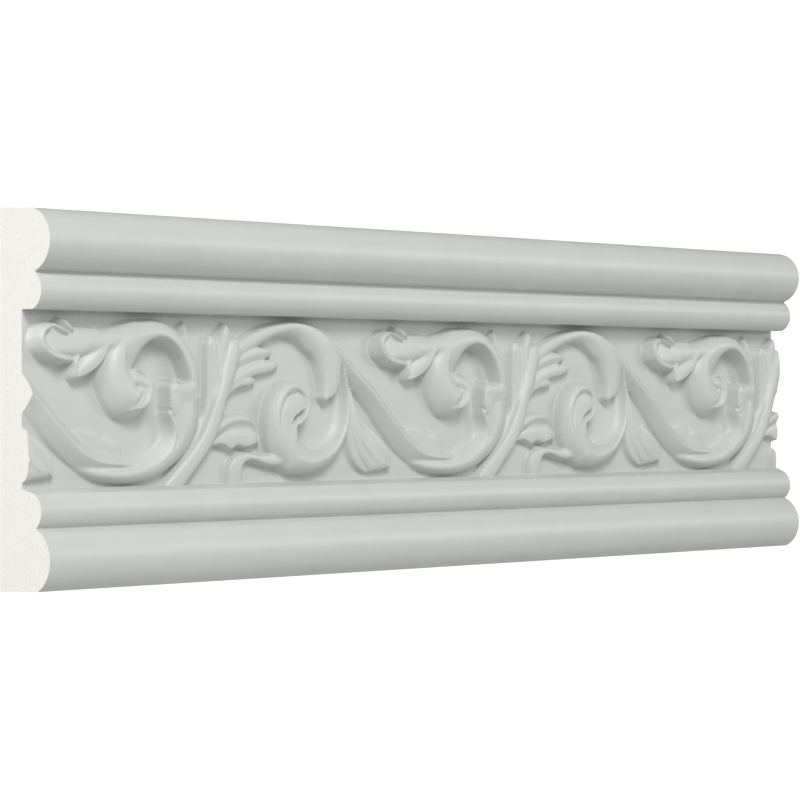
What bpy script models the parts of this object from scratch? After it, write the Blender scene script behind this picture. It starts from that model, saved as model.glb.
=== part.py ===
"""A length of chair rail moulding: two pairs of beads with a carved acanthus scroll running between them.

+X runs along the moulding, +Z is up and the moulding faces -Y. Its back lies on the plane y = 0, and the
origin is at the middle of the back, half way along. Sizes are in millimetres and the mesh is in metres.
The carving is laid out flat: u along the band, h up from its middle, and a rise above the band.
"""
import math
from collections import namedtuple

import bmesh
import bpy
import numpy as np
from mathutils import Matrix

MM = 0.001

# The whole moulding
LENGTH = 410.8
BACK_TOP = 65.1
BACK_BOTTOM = -64.9
BAND_DEPTH = 12.0
BAND_TOP = 30.4
BAND_BOTTOM = -29.9

# Beads, each an ellipse seen from the end, with its radius out from the wall and its radius up
Bead = namedtuple("Bead", "depth height out up")
TOP_BEAD = Bead(15.3, 53.4, 12.0, 10.9)
TOP_SMALL_BEAD = Bead(15.9, 36.8, 6.7, 6.7)
BOTTOM_SMALL_BEAD = Bead(15.9, -37.3, 6.7, 6.7)
BOTTOM_BEAD = Bead(15.3, -53.6, 12.0, 11.4)
BEAD_STEPS = 14
TOP_CORNER_DEPTH = 17.1
BOTTOM_CORNER_DEPTH = 20.4
TOP_GROOVE_DEPTH = 19.2
BOTTOM_GROOVE_DEPTH = 19.8
TOP_LEDGE_DEPTH = 17.8
BOTTOM_LEDGE_DEPTH = 18.7

# The carving repeats along the band, and one repeat begins at this x
REPEAT = 159.8
FIRST_REPEAT = -215.2
# Its walls rise this much for each millimetre across, and the creases between strokes are filled by blending
WALL = 6.0
BLEND = 0.8
# The steps on a stroke's line from one row to the next, and the least width of a side
SPAN_STEPS = 6
NARROWEST = 0.2

# The grid that the carving is shaped on, the slab behind it and the share of its faces that is kept
GRID_STEP = 1.15
GRID_TOP = 31.4
GRID_OVERRUN = 6.0
BODY_OVERRUN = 10.0
TRIMMER_SIDE = 160.0
BELOW_BAND = 1.6
ROOT_DEPTH = 8.0
KEPT_FACES = 0.095
MERGE = 0.01
SHARP_ANGLE = 35

PAINT = (0.62, 0.63, 0.61, 1.0)
PAINT_ROUGHNESS = 0.55

# One stroke of the carving. Each row is a point on its line, u and h, the width to the left and to the right
# of the line, and the rise at the line. A side is how full its slope is, hollow under 1, and the share of the
# rise at which its edge stands.
Strand = namedtuple("Strand", "name left right rows")
# The same shape taken out of what is already carved
Hollow = namedtuple("Hollow", "name left right rows")

CARVING = [
    Strand("faint leaf", (4, 0.5), (4, 0.6), [
        (28, -13.5, 2, 3, 0.7), (33, -13.2, 3.1, 5, 0.9), (37, -13.4, 3.3, 6, 1.1),
        (40, -14.4, 3.4, 6, 1.1), (42, -15.4, 2.7, 6, 1.1), (45.4, -15.8, 3.3, 6, 1.4),
        (48.6, -17, 3, 5, 1.4), (50.6, -19.6, 1.8, 3, 1.2), (52.4, -21.8, 1, 2, 0.8)]),
    Strand("ring bottom", (1.6, 0.3), (2.2, 0.3), [
        (32.6, -22.7, 3, 1.6, 1.4), (36, -23.9, 3.8, 2.2, 2.8), (40, -24.9, 4, 2.6, 3.8),
        (45, -25.6, 4, 3, 4.6), (50.6, -25.6, 3.4, 3.6, 4.9), (56, -24.9, 3.2, 4.2, 5.1),
        (62, -23.4, 3.4, 4.8, 5.4), (68, -20.4, 3.8, 5.4, 5.7), (73, -16.4, 4.4, 6.2, 6),
        (76.6, -11.4, 5, 7.4, 6.2), (78.2, -6.6, 6.5, 7.8, 6.3), (78.8, -2, 7, 7.6, 6.3),
        (79, 0.4, 6, 7, 6.3)]),
    Strand("ring inner ridge", (0.35, 0), (1.8, 0.4), [
        (53, -23.7, 3, 2.4, 4), (57, -23.4, 4, 2.8, 4.7), (62, -22.3, 5, 3, 5.1),
        (66.8, -20.2, 5.6, 3, 5.5), (70.4, -16.8, 5.8, 3, 5.9), (72, -12.8, 5.4, 3, 6.1),
        (71.6, -9, 4.2, 3, 6.1), (70, -5.8, 2.6, 3, 5.8), (69.4, -4.2, 1.6, 2, 5.4)]),
    Strand("stem", (1.3, 0.15), (1.2, 0.15), [
        (-25, 26.6, 1.6, 2, 4.6), (-21.6, 26.6, 1.8, 2.4, 4.8), (-17, 25, 2.2, 2.6, 5),
        (-12.7, 22.2, 2.6, 3, 5.2), (-8.7, 18.8, 3.2, 3.4, 5.4), (-4.7, 15, 4, 3.8, 5.6),
        (-0.7, 11, 4.6, 4, 5.8), (3.4, 7.4, 4.8, 4.2, 6), (8.4, 3.4, 5, 4.4, 6), (13.4, -1, 5, 4.6, 6),
        (18.4, -6.3, 4.8, 4.8, 6), (23.4, -11.1, 4.6, 5.2, 5.8), (28.4, -15.3, 4.4, 5.4, 5.5),
        (33.6, -18.6, 4.2, 5.4, 5.2), (39, -20.8, 4, 4.6, 5), (44.6, -21.9, 4, 3.2, 4.7),
        (50, -22.4, 3.4, 2, 4.3), (55, -22.8, 2.4, 1.4, 3.6)]),
    Strand("ring top", (1.4, 0.8), (2.4, 0.35), [
        (79.6, 1, 1.4, 6, 6), (79.5, 7, 1.8, 6.1, 6.8), (78.2, 11.4, 1.9, 6, 7),
        (75.6, 16.2, 1.9, 5.8, 7), (71.2, 20.6, 1.9, 5.3, 7.1), (65.6, 22.7, 2, 5.2, 7.2),
        (60, 22.6, 3.2, 5.3, 7.2), (55, 21.8, 5, 5.4, 7.2)]),
    Strand("ball", (2.2, 0.6), (2, 0.2), [
        (60, 22.4, 3, 5.2, 6.8), (54.6, 21.6, 7, 5.4, 7.2), (50.2, 19.6, 8.6, 5.8, 7.3),
        (47.4, 16, 8.4, 6.2, 7.4), (46.2, 12, 8, 7.2, 7.6), (46.6, 8, 7.6, 7.6, 7.8),
        (48.4, 4, 7.6, 7.6, 8), (51.6, 1.2, 7, 8, 8), (55, 1, 6, 7.6, 7.8), (57, 2.6, 4, 6, 7.2)]),
    Strand("ball face", (2.4, 0.3), (2.4, 0.3), [
        (50.4, 8, 4, 4, 6.8), (53.4, 7.2, 4.2, 4.4, 7), (56, 6.8, 3, 4.4, 7.1), (58, 5.4, 2.2, 3, 7.2)]),
    Hollow("eye", (1.1, 0), (2, 0), [
        (49.5, 16, 3.4, 0.5, 0.3), (49.2, 13.4, 4.4, 0.6, 0.9), (49.9, 10.8, 4.6, 0.7, 1.2),
        (51.4, 8.8, 3, 0.7, 0.9), (52.6, 7.8, 1.6, 0.6, 0.3)]),
    Strand("lip", (1.5, 0.6), (2, 0.5), [
        (54.2, 10.8, 0.9, 1.4, 5.4), (56.4, 10.4, 1.3, 2, 6.4), (58.6, 8.8, 1.5, 2.4, 7.3),
        (59.9, 5.8, 1.6, 2.5, 7.7), (60.1, 2.4, 1.7, 2.6, 7.8), (58.9, -0.6, 1.8, 3.2, 7.8),
        (56.4, -2.5, 1.8, 4, 7.6), (53.4, -3.4, 1.4, 4, 7.2)]),
    Hollow("slit", (1.4, 0), (1.8, 0), [
        (57.2, 5.4, 1.2, 1, 0.3), (57.2, 3.2, 1.4, 1, 0.6), (56, 0.9, 1.4, 1, 0.8),
        (54, -0.7, 1.2, 1, 0.4)]),
    Strand("arm root", (2.6, 0.5), (2.4, 0.3), [
        (56, 22.6, 4.6, 5.2, 6.6), (48, 21, 4.4, 4.7, 6.6), (41, 20, 4.8, 4.4, 6.2),
        (34, 19.6, 4.6, 4.9, 5.6)]),
    Strand("hat face", (2.2, 0.35), (2.4, 0.4), [
        (16.5, 19.6, 5, 4.8, 4.8), (23, 19.2, 6, 5.6, 5.4), (31, 19, 6, 5.4, 5.7),
        (38, 19.6, 5.4, 4.8, 6)]),
    Strand("hat roll", (2, 0.4), (2, 0.15), [
        (30.4, 13.8, 1.2, 0.8, 3.8), (26.4, 13.8, 1.7, 1.5, 5.3), (22.4, 14.2, 1.8, 2.2, 5.9),
        (18.6, 15.3, 1.9, 2.9, 6.1), (15.4, 17.6, 2, 3.5, 6.3), (14, 20.8, 2, 3.6, 6.4),
        (15.2, 23.4, 2, 3, 6), (18.4, 24.6, 1.8, 1.8, 5)]),
    Hollow("hat cup", (2, 0), (2, 0), [
        (17, 20.6, 2.2, 2.6, 0.8), (20, 20.4, 3.4, 3.6, 1.1), (24, 20, 3.6, 3.6, 0.8),
        (30, 19.6, 3.4, 3.4, 0.3)]),
    Strand("hat tip", (1.6, 0.6), (1.6, 0.7), [
        (23.9, 27.2, 0.8, 0.8, 4.2), (24.9, 26.4, 1.2, 1.5, 5.2), (26.4, 24.8, 1.3, 1.6, 6),
        (27.6, 23.4, 1.1, 1.2, 6)]),
    Strand("hat second tip", (1.4, 0.55), (1.2, 0.45), [
        (20.6, 25.2, 1.2, 1.2, 5.4), (22.4, 24.1, 1.4, 1.5, 6), (24.4, 23, 1.3, 1.4, 6.2),
        (25.8, 22.4, 1, 1, 5.9)]),
    Strand("hat lobe", (4, 0.8), (2, 0.3), [
        (42, 18.8, 1.8, 4, 6.3), (39.6, 16, 2.8, 5, 6.3), (36.6, 13, 3, 5, 6), (33.4, 10.8, 3, 4.4, 5.3),
        (30.8, 9.4, 2.6, 2.8, 4.8)]),
    Strand("hat lobe edge", (2, 0.6), (2, 0.75), [
        (30.4, 14.6, 1.6, 1.4, 4.8), (29, 12.4, 1.9, 1.5, 5.4), (28.5, 9.8, 1.9, 1.3, 5.4),
        (29, 7.9, 1.5, 1.1, 4.9), (30, 7.3, 1.1, 0.9, 4.2)]),
    Strand("sheath face", (3, 0.8), (3, 0.8), [
        (74, 1, 4, 4, 6), (74.6, -3, 4, 4.4, 6.1), (75.6, -8, 3.4, 4, 6.1), (75.6, -12.6, 2.4, 3, 6)]),
    Strand("sheath top", (3, 0.95), (2, 0.6), [
        (74.6, 2.4, 2.4, 4, 6.5), (78, 2.4, 2.8, 4.6, 6.7), (81, 1.8, 2.6, 4.4, 6.5)]),
    Strand("sheath block", (1.6, 0.9), (1, 0.95), [
        (71, 3.9, 4, 2.5, 6.5), (71, 1.6, 5, 2.6, 6.5), (71, -0.4, 5, 2.6, 6.5),
        (70.8, -1.8, 4.4, 2.4, 6.4)]),
    Strand("sheath rim", (1.6, 0.4), (2, 0.9), [
        (71.6, 4.2, 1, 2.8, 6.5), (73.6, 4.9, 1.4, 3.6, 6.8), (76.6, 5.3, 1.6, 4, 7),
        (80, 5.1, 1.6, 4, 7), (82.2, 4.4, 1.3, 2.8, 6.6)]),
    Strand("tendril", (1.4, 0.4), (1.5, 0.5), [
        (79.6, 27, 0.7, 0.6, 2.2), (78.1, 25, 1.4, 1.3, 4.2), (78.2, 21.8, 1.6, 1.6, 5.6),
        (80, 17.6, 1.5, 1.5, 6), (82.4, 12.6, 1.3, 1.4, 5.4), (84.2, 7.6, 1, 1, 3.8)]),
    Strand("spray web", (3, 0.5), (3, 0.4), [
        (84, -16, 2, 2, 3), (89, -8, 3.4, 4, 3.2), (92.6, 0, 3, 4.6, 3.2), (95, 9, 4.4, 4.8, 3.2),
        (96.4, 16, 4.6, 5, 3.2), (97, 20, 3.6, 4.2, 3)]),
    Strand("spray stem", (3, 0.5), (3, 0.6), [
        (72.6, -31.4, 4, 4.4, 3.8), (77.6, -25.8, 3.8, 4, 4.7), (83, -19.8, 3.6, 3.8, 5.3),
        (87.4, -14.4, 3.6, 4, 5.6), (90.4, -8.4, 3.4, 4.2, 5.8), (92.6, -2, 2.6, 4.4, 5.8),
        (94.4, 3.4, 1.6, 3.6, 5.7), (96, 7.4, 1, 2.4, 5.5)]),
    Strand("spray left", (1.2, 0.5), (3, 0.7), [
        (88.4, -13, 3.2, 3, 5), (90.2, -7, 3.2, 3, 4.8), (91.3, -1, 3.1, 3, 4.3), (91.8, 5, 3, 2.8, 3.9),
        (91.9, 11, 3, 2.7, 3.7), (91.9, 17, 3, 2.6, 3.6), (91.8, 20, 2.8, 2.4, 3.5),
        (91.6, 21.6, 1.9, 1.5, 3)]),
    Strand("spray mid", (2.4, 0.75), (2, 0.6), [
        (94.8, 6, 1.6, 1.6, 4), (95.8, 12, 2.2, 2, 4.1), (96.8, 18, 2.7, 2.4, 4.1),
        (97.7, 22.6, 2.8, 2.4, 4.1), (98.2, 24.8, 2.2, 2.1, 3.9), (98.4, 26, 1.3, 1.2, 3.3)]),
    Strand("spray right", (1.8, 0.6), (3, 0.6), [
        (91.6, -6, 3, 3.8, 5.6), (93, -1, 3, 4.4, 5.7), (95.2, 5, 2.7, 5, 5.7), (97.8, 12, 2.5, 5.4, 5.3),
        (99.6, 16.8, 2.4, 5.4, 4.9), (101, 19.8, 2.2, 4.2, 4.5), (101.8, 20.8, 2, 2.8, 4.2)]),
    Strand("side web", (4, 0.7), (4, 0.7), [
        (97, 6, 4.5, 5, 3), (102, 10, 5, 5.5, 3.1), (108, 12.6, 5, 5.6, 3), (113.4, 14, 4, 4.6, 2.8)]),
    Strand("side 1", (2.4, 0.8), (1.5, 0.7), [
        (98, 10, 2, 2, 3.5), (103.4, 13.6, 2.2, 2.4, 3.8), (108.4, 15.7, 2.5, 2.6, 3.9),
        (113.4, 16.8, 2.5, 2.6, 3.7), (117.4, 17, 2.2, 2.4, 3.4), (119.4, 16.9, 1.5, 1.8, 2.9)]),
    Strand("side 2", (1.6, 0.7), (2.4, 0.75), [
        (98, 4.4, 2, 2, 3.6), (102.4, 7.6, 2.4, 2.6, 3.7), (107.4, 10, 2.6, 2.8, 3.7),
        (112.4, 11.4, 2.6, 2.9, 3.6), (117.4, 12.2, 2.4, 2.9, 3.4), (121.4, 12.7, 2.2, 2.4, 3),
        (123.4, 12.7, 1.3, 1.4, 2.5)]),
    Strand("side 3", (2, 0.6), (2.4, 0.7), [
        (96.4, 0.4, 2, 2, 3), (101, 4.2, 2, 1.8, 3.4), (105, 6.1, 2.2, 2, 3.6), (109, 6.9, 2.2, 2.4, 3.5),
        (111.8, 6.9, 1.4, 1.7, 2.8)]),
    Strand("low web", (4, 0.7), (4, 0.7), [
        (88, -16, 2, 2, 2.6), (95, -12.6, 3.6, 3.6, 2.8), (102, -11.4, 4, 4.6, 3),
        (108.4, -11.4, 3.6, 4, 2.8)]),
    Strand("low 1", (2.2, 0.6), (1.4, 0.4), [
        (86.6, -15.4, 2, 2.4, 5.2), (91, -12.2, 2.2, 2.8, 4.9), (96, -9.1, 2.5, 3.2, 4.6),
        (100.4, -7.4, 2.4, 3.5, 4.4), (104.6, -6.9, 2.1, 3.6, 4.3), (108.6, -7.5, 1.9, 3.1, 4),
        (111, -8.8, 1.3, 1.9, 3.2)]),
    Strand("low 2", (3.4, 0.8), (3.4, 0.8), [
        (92, -15.8, 1.6, 1, 2.6), (96, -14.6, 2.2, 1.8, 3.2), (100, -13.9, 2.8, 4.4, 3.6),
        (103.4, -13.7, 2.8, 3.1, 3.6), (107, -13.6, 2.8, 4, 3.8), (110.8, -13.6, 2.6, 3.3, 3.8),
        (113, -13.7, 2, 2.6, 3)]),
    Strand("small arm", (2.2, 0.3), (0.35, 0), [
        (155.2, 13, 0.9, 0.9, 4), (156, 9, 1.5, 2.4, 4.6), (156.8, 4, 2, 4, 5), (157.2, 0, 2.6, 5.4, 5.1),
        (156.6, -6, 3.2, 7.4, 5.3), (154.4, -12, 3.8, 8.6, 5.5), (150, -17.4, 4.6, 8.4, 5.9),
        (144, -20.8, 5.2, 7, 6.3), (137, -22.2, 5.6, 5, 6.7), (130, -21, 6.4, 5, 7)]),
    Strand("small ring", (2, 0.2), (2.4, 0.4), [
        (146, -19.8, 4, 1.2, 5), (139, -22, 5.2, 4.4, 6.1), (130, -20.6, 6.6, 7.6, 7.1),
        (122.6, -14.6, 5.6, 8, 7.4), (119.4, -7, 3, 6.6, 7.4), (121, 0, 2.7, 5, 7.3),
        (125.2, 4.2, 2.7, 3.4, 7), (130.2, 4.8, 2.5, 2.6, 6.8), (134.2, 2.5, 2.9, 2.6, 6.8),
        (135.6, -1.8, 2.9, 2.4, 6.8), (134, -6, 2.6, 2, 6.7), (130.8, -8.5, 2.1, 1.6, 6.5),
        (128.2, -9.4, 1.2, 1, 5.6)]),
    Strand("curl", (5, 0.92), (5, 0.92), [
        (127, -13, 4, 4, 6.8), (126.4, -8.4, 4.4, 4.4, 6.8), (127.6, -4, 6, 6, 6.7),
        (129, -1.6, 5.8, 5.8, 6.6)]),
    Hollow("curl groove", (1.1, 0), (2, 0), [
        (133.2, 1.2, 2, 0.7, 0.4), (131.2, 2.4, 2.8, 0.7, 1.1), (128, 2.2, 3, 0.7, 1.4),
        (124.8, 0.4, 2.2, 0.6, 1.1), (122.4, -3, 1.5, 0.6, 0.9), (121.3, -6.4, 1, 0.6, 0.8),
        (121.4, -10.4, 0.8, 0.6, 0.4)]),
    Hollow("curl slit", (1.5, 0), (1.5, 0), [
        (133.2, -4.2, 0.9, 0.9, 0.8), (131.4, -5.6, 1.2, 1.2, 2.6), (129.4, -7, 1.3, 1.3, 3.2),
        (127.8, -9, 1, 1, 1.4)]),
    Strand("hook", (3, 0.5), (3, 0.5), [
        (127, -21.6, 2.4, 2.4, 4.2), (121, -22, 2.6, 2.6, 4.2), (116.4, -21.6, 2.2, 2.1, 4),
        (112, -20.8, 1.6, 1.7, 3.9), (108.6, -20.6, 1.6, 2.1, 3.8), (105.6, -21.9, 2, 3.4, 3.7),
        (104.2, -25, 2.4, 4.8, 3.5), (104, -31, 2.6, 5, 3.1)]),
    Strand("arc", (4, 0.7), (1.8, 0.4), [
        (99, 13.8, 2.4, 2.4, 3.8), (103, 16.6, 3.2, 2.9, 4), (107, 19, 3.7, 3.3, 4.1),
        (111.4, 21.2, 3.6, 3.3, 4.3), (116, 23.2, 3.2, 2.9, 4.6), (121, 24.8, 2.9, 2.6, 4.9),
        (126, 25.9, 2.7, 3, 5.1), (131, 26.2, 2.7, 3.8, 5.3), (136, 24.8, 3.6, 4.8, 5.3),
        (140.4, 21.8, 5.2, 5, 5.3), (143.8, 18, 7.2, 4.2, 5.3), (145.8, 13.6, 8.4, 3.6, 5.2),
        (146.6, 9.6, 8.2, 3.2, 5.1), (147, 6.4, 7.4, 2.8, 5), (147, 4, 5.8, 2.6, 4.9),
        (146.6, 2.4, 4, 2.2, 4.8), (146, 1.2, 2.2, 1.8, 4.6)]),
    Strand("husk", (4, 0.7), (2.4, 0.5), [
        (0.4, 3, 1.4, 1.2, 2.2), (1, -4, 3, 3, 3), (3, -11, 4, 5.2, 3.4), (6.6, -17, 5, 7.4, 3.6),
        (11, -21.4, 5.6, 7, 3.6), (14.6, -23.6, 4, 3.8, 3.5), (17, -24.4, 2.4, 2.4, 3.3)]),
    Strand("husk side", (3, 0.7), (3, 0.7), [
        (9, -11.4, 2, 3, 3), (13.6, -15.2, 2.4, 3.4, 3.5), (17.4, -18.6, 2.5, 3.6, 3.6),
        (19.4, -21.6, 2, 3.4, 3.5), (20.4, -23.8, 1.6, 2.6, 3.3)]),
    Strand("husk vein", (1.3, 0), (1.3, 0), [
        (1.4, -8, 0.8, 0.8, 3.2), (4.6, -14, 1.8, 1.8, 4.2), (8.8, -19, 2.6, 2.6, 4.5),
        (13.6, -22.8, 2.4, 2.4, 4.2), (16.4, -24.2, 1.4, 1.4, 3.8)]),
    Hollow("husk fold", (1.2, 0), (1.2, 0), [
        (1, -14, 0.6, 0.6, 0.2), (3.4, -19.4, 1, 1, 0.6), (7, -24.2, 1.1, 1.1, 0.8),
        (9.4, -26.4, 1, 1, 0.7)]),
]


def smooth_line(rows):
    """A Catmull-Rom curve through the rows."""
    rows = np.array(rows, float)
    first = 2 * rows[0] - rows[1]
    last = 2 * rows[-1] - rows[-2]
    ends = np.vstack([first, rows, last])
    t = np.linspace(0, 1, SPAN_STEPS, endpoint=False)[:, None]
    spans = []
    for a, b, c, d in zip(ends, ends[1:], ends[2:], ends[3:]):
        cubic = 2 * a - 5 * b + 4 * c - d + t * (3 * (b - c) + d - a)
        spans.append(b + 0.5 * t * (c - a + t * cubic))
    line = np.vstack(spans + [rows[-1:]])
    line[:, 2:4] = np.maximum(line[:, 2:4], NARROWEST)
    return line


def nearest_on(line, u, h):
    """For each point: its distance from the line, whether it lies to the left, and the line's sizes there."""
    found = np.full(u.shape, np.inf)
    is_left = np.zeros(u.shape, bool)
    sizes = np.zeros(u.shape + (3,))
    for start, end in zip(line[:-1], line[1:]):
        along = end[:2] - start[:2]
        du = u - start[0]
        dh = h - start[1]
        t = np.clip((du * along[0] + dh * along[1]) / (along @ along), 0, 1)
        apart = np.hypot(du - t * along[0], dh - t * along[1])
        closer = apart < found
        found[closer] = apart[closer]
        is_left[closer] = (along[0] * dh - along[1] * du > 0)[closer]
        sizes[closer] = (start[2:5] + t[..., None] * (end[2:5] - start[2:5]))[closer]
    return found, is_left, sizes


def section_of(piece, u, h):
    """The rise of a piece at each point, and how far inside its edge the point lies."""
    apart, is_left, sizes = nearest_on(smooth_line(piece.rows), u, h)
    width = np.where(is_left, sizes[..., 0], sizes[..., 1])
    fullness = np.where(is_left, piece.left[0], piece.right[0])
    edge = np.where(is_left, piece.left[1], piece.right[1])
    across = np.clip(apart / width, 0, 1)
    hollowed = (1 - across) ** (1 / fullness)
    share = np.where(fullness < 1, hollowed, 1 - across ** fullness)
    return sizes[..., 2] * (edge + (1 - edge) * share), width - apart


def smooth_max(a, b):
    """The higher of the two, with the crease between them filled."""
    t = np.clip(0.5 + 0.5 * (b - a) / BLEND, 0, 1)
    return a + (b - a) * t + BLEND * t * (1 - t)


def carve(u, h, pieces):
    """The rise of the carving at each point, and the depth it is cut below the band where the band is bare."""
    rise = np.full(u.shape, -BELOW_BAND)
    for piece in pieces:
        rows = np.array(piece.rows)
        reach = rows[:, 2:4].max() + BELOW_BAND
        low = rows[:, :2].min(axis=0) - reach
        high = rows[:, :2].max(axis=0) + reach
        first = math.floor((u.min() - high[0]) / REPEAT)
        last = math.ceil((u.max() - low[0]) / REPEAT)
        for n in range(first, last + 1):
            v = u - n * REPEAT
            near = (v > low[0]) & (v < high[0]) & (h > low[1]) & (h < high[1])
            if not near.any():
                continue
            top, inside = section_of(piece, v[near], h[near])
            if isinstance(piece, Hollow):
                rise[near] -= np.where(inside > 0, top, 0) * np.clip(rise[near], 0, 1)
            else:
                walled = np.maximum(np.minimum(top, WALL * inside), -BELOW_BAND - BLEND)
                rise[near] = smooth_max(rise[near], walled)
    return rise


def clear_scene():
    for obj in list(bpy.data.objects):
        bpy.data.objects.remove(obj, do_unlink=True)


def collection(name):
    made = bpy.data.collections.new(name)
    bpy.context.scene.collection.children.link(made)
    return made


def paint():
    material = bpy.data.materials.new("primed_paint")
    material.use_nodes = True
    shader = material.node_tree.nodes["Principled BSDF"]
    shader.inputs["Base Color"].default_value = PAINT
    shader.inputs["Roughness"].default_value = PAINT_ROUGHNESS
    shader.inputs["Metallic"].default_value = 0.0
    return material


def bead_arc(bead, start_depth, end_depth):
    """Points down the front of a bead, from one depth on its upper side to another on its lower side."""
    start = math.acos((start_depth - bead.depth) / bead.out)
    end = -math.acos((end_depth - bead.depth) / bead.out)
    angles = np.linspace(start, end, BEAD_STEPS)
    return [(bead.depth + bead.out * math.cos(a), bead.height + bead.up * math.sin(a)) for a in angles]


def profile():
    """The end of the moulding as (depth, height) points, from the top of the back round the front."""
    points = [(0, BACK_TOP)]
    points += bead_arc(TOP_BEAD, TOP_CORNER_DEPTH, TOP_GROOVE_DEPTH)
    points += bead_arc(TOP_SMALL_BEAD, TOP_GROOVE_DEPTH, TOP_LEDGE_DEPTH)
    points += [(BAND_DEPTH, BAND_TOP), (BAND_DEPTH, BAND_BOTTOM)]
    points += bead_arc(BOTTOM_SMALL_BEAD, BOTTOM_LEDGE_DEPTH, BOTTOM_GROOVE_DEPTH)
    points += bead_arc(BOTTOM_BEAD, BOTTOM_GROOVE_DEPTH, BOTTOM_CORNER_DEPTH)
    points.append((0, BACK_BOTTOM))
    return points


def as_mesh(curve_object, name, home):
    """A mesh object with the curve's evaluated shape, its caps welded on."""
    graph = bpy.context.evaluated_depsgraph_get()
    mesh = bpy.data.meshes.new_from_object(curve_object.evaluated_get(graph))
    shape = bmesh.new()
    shape.from_mesh(mesh)
    bmesh.ops.remove_doubles(shape, verts=shape.verts, dist=MERGE * MM)
    bmesh.ops.recalc_face_normals(shape, faces=shape.faces)
    shape.to_mesh(mesh)
    shape.free()
    made = bpy.data.objects.new(name, mesh)
    made.matrix_world = curve_object.matrix_world
    home.objects.link(made)
    bpy.data.objects.remove(curve_object)
    return made


def moulded_body(name, home):
    """The plain moulding: its profile run along X, longer than the finished piece at both ends."""
    outline = bpy.data.curves.new("profile", "CURVE")
    outline.dimensions = "2D"
    outline.fill_mode = "BOTH"
    outline.extrude = (LENGTH / 2 + BODY_OVERRUN) * MM
    points = profile()
    spline = outline.splines.new("POLY")
    spline.points.add(len(points) - 1)
    for point, (depth, height) in zip(spline.points, points):
        point.co = (depth * MM, height * MM, 0, 1)
    spline.use_cyclic_u = True
    run = bpy.data.objects.new("profile", outline)
    run.matrix_world = Matrix.Rotation(-math.pi / 2, 4, "Z") @ Matrix.Rotation(math.pi / 2, 4, "X")
    home.objects.link(run)
    bpy.context.view_layer.update()
    return as_mesh(run, name, home)


def carved_slab(home):
    """The carving as a slab that stands out of the band where it is carved and hides behind it elsewhere."""
    half = LENGTH / 2 + GRID_OVERRUN
    columns = round(2 * half / GRID_STEP)
    rows = round(2 * GRID_TOP / GRID_STEP)
    shape = bmesh.new()
    stretch = Matrix.Diagonal((half * MM, GRID_TOP * MM, 1, 1))
    bmesh.ops.create_grid(shape, x_segments=columns, y_segments=rows, size=1, matrix=stretch)
    sheet = bpy.data.meshes.new("carving sheet")
    shape.to_mesh(sheet)
    shape.free()
    slab = bpy.data.objects.new("carving", sheet)
    home.objects.link(slab)
    thicken = slab.modifiers.new("thickness", "SOLIDIFY")
    thicken.thickness = (BAND_DEPTH - ROOT_DEPTH) * MM
    graph = bpy.context.evaluated_depsgraph_get()
    slab.data = bpy.data.meshes.new_from_object(slab.evaluated_get(graph))
    slab.modifiers.remove(thicken)
    points = np.empty(len(slab.data.vertices) * 3)
    slab.data.vertices.foreach_get("co", points)
    x, height, behind = points.reshape(-1, 3).T
    rise = carve(x / MM - FIRST_REPEAT, height / MM, CARVING)
    depth = np.where(behind < -MM, ROOT_DEPTH, BAND_DEPTH + rise)
    slab.data.vertices.foreach_set("co", np.stack([x, -depth * MM, height], axis=1).ravel())
    slab.data.update()
    thin = slab.modifiers.new("fewer faces", "DECIMATE")
    thin.ratio = KEPT_FACES
    return slab


def end_trimmer(home):
    """A block as long as the finished moulding, which cuts both ends square."""
    bpy.ops.mesh.primitive_cube_add(size=1, location=(0, -BAND_DEPTH * MM, 0))
    block = bpy.context.object
    block.name = "end_trimmer"
    block.scale = (LENGTH * MM, TRIMMER_SIDE * MM, TRIMMER_SIDE * MM)
    for owner in list(block.users_collection):
        owner.objects.unlink(block)
    home.objects.link(block)
    return block


def combine(body, other, operation):
    step = body.modifiers.new(other.name, "BOOLEAN")
    step.operation = operation
    step.object = other
    step.solver = "EXACT"
    other.hide_render = True
    other.display_type = "WIRE"


def main():
    clear_scene()
    home = collection("chair_rail")
    cutters = collection("cutters")
    moulding = moulded_body("chair_rail_moulding", home)
    combine(moulding, carved_slab(cutters), "UNION")
    combine(moulding, end_trimmer(cutters), "INTERSECT")
    moulding.data.materials.clear()
    moulding.data.materials.append(paint())
    moulding.data.shade_smooth()
    moulding.data.set_sharp_from_angle(angle=math.radians(SHARP_ANGLE))


main()
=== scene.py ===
"""The looks of a length of carved chair rail moulding: grey primer paint over cream foam, in soft light.

+X runs along the moulding, +Z is up and the moulding faces -Y, with its back on the plane y = 0.
Sizes are in millimetres and the mesh is in metres. The carving is laid out flat: u along the band, h up
from its middle, and a rise above the band.
"""
import math
from collections import namedtuple

import bpy
import numpy as np
from mathutils import Euler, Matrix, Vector


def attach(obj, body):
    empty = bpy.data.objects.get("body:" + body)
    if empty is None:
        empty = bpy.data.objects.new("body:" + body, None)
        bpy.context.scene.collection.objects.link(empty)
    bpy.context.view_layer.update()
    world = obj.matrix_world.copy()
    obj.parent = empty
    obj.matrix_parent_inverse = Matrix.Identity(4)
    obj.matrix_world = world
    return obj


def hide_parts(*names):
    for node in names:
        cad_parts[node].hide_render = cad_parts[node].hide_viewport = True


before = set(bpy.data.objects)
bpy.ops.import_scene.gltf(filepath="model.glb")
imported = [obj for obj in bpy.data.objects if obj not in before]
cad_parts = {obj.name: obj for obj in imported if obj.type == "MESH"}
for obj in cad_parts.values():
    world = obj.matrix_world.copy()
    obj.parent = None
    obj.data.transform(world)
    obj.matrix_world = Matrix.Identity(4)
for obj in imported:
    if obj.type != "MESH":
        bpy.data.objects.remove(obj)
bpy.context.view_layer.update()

MM = 0.001

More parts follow.
